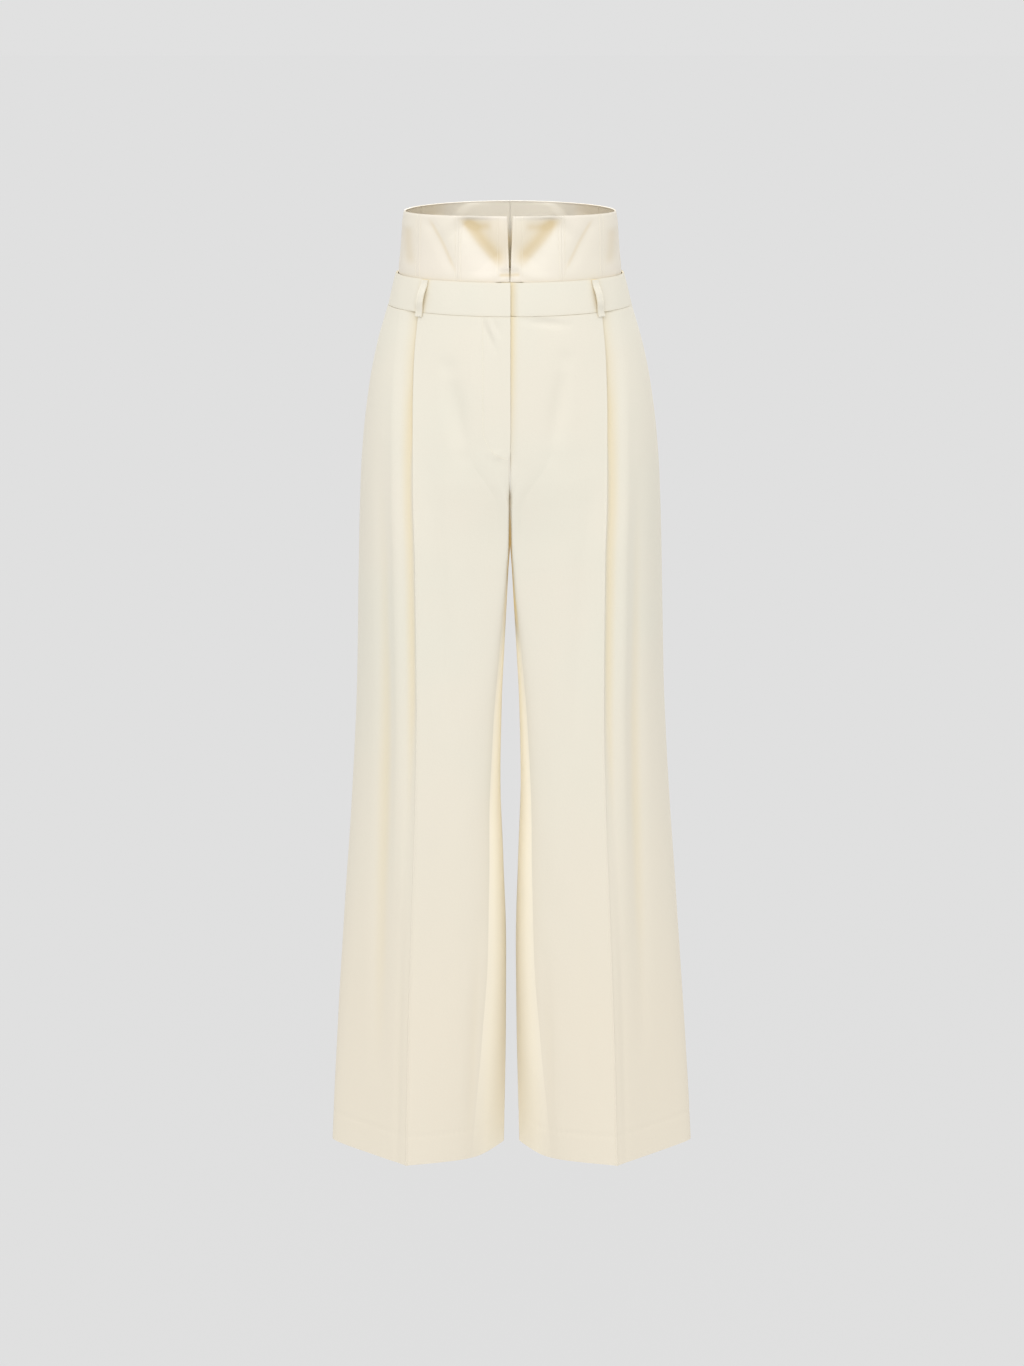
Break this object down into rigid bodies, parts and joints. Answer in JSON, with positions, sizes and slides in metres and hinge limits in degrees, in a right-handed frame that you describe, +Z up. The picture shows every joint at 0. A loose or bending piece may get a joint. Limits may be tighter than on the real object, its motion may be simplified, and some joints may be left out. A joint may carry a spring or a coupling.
{
  "type": "corset trousers",
  "caption": "High-waisted wide-leg trousers in ivory crepe with a boned satin corset waist, belt loops, front pleats and pressed creases, in their worn shape.",
  "frame": {"origin": "middle of the waist, level with the top edge of the waistband, where the wearer's waist holds the garment up", "axes": "+Z up along the body, -Y out of the garment's front, +X towards the wearer's left"},
  "size_m": [0.4764, 0.2513, 1.228],
  "materials": {
    "crepe": "matte ivory crepe",
    "satin": "soft satin sheen"
  },
  "bodies": {
    "root": {"front_left": "crepe", "front_right": "crepe", "back_left": "crepe", "back_right": "crepe", "waistband_left": "crepe", "waistband_right": "crepe", "corset_front_left": "satin", "corset_front_right": "satin", "corset_side_front_left": "satin", "corset_side_front_right": "satin", "corset_side_left": "satin", "corset_side_right": "satin", "corset_back_left": "satin", "corset_back_right": "satin", "belt_loop_front_left": "crepe", "belt_loop_front_right": "crepe", "belt_loop_back_left": "crepe", "belt_loop_back_right": "crepe", "belt_loop_centre_back": "crepe"}
  },
  "joints": []
}
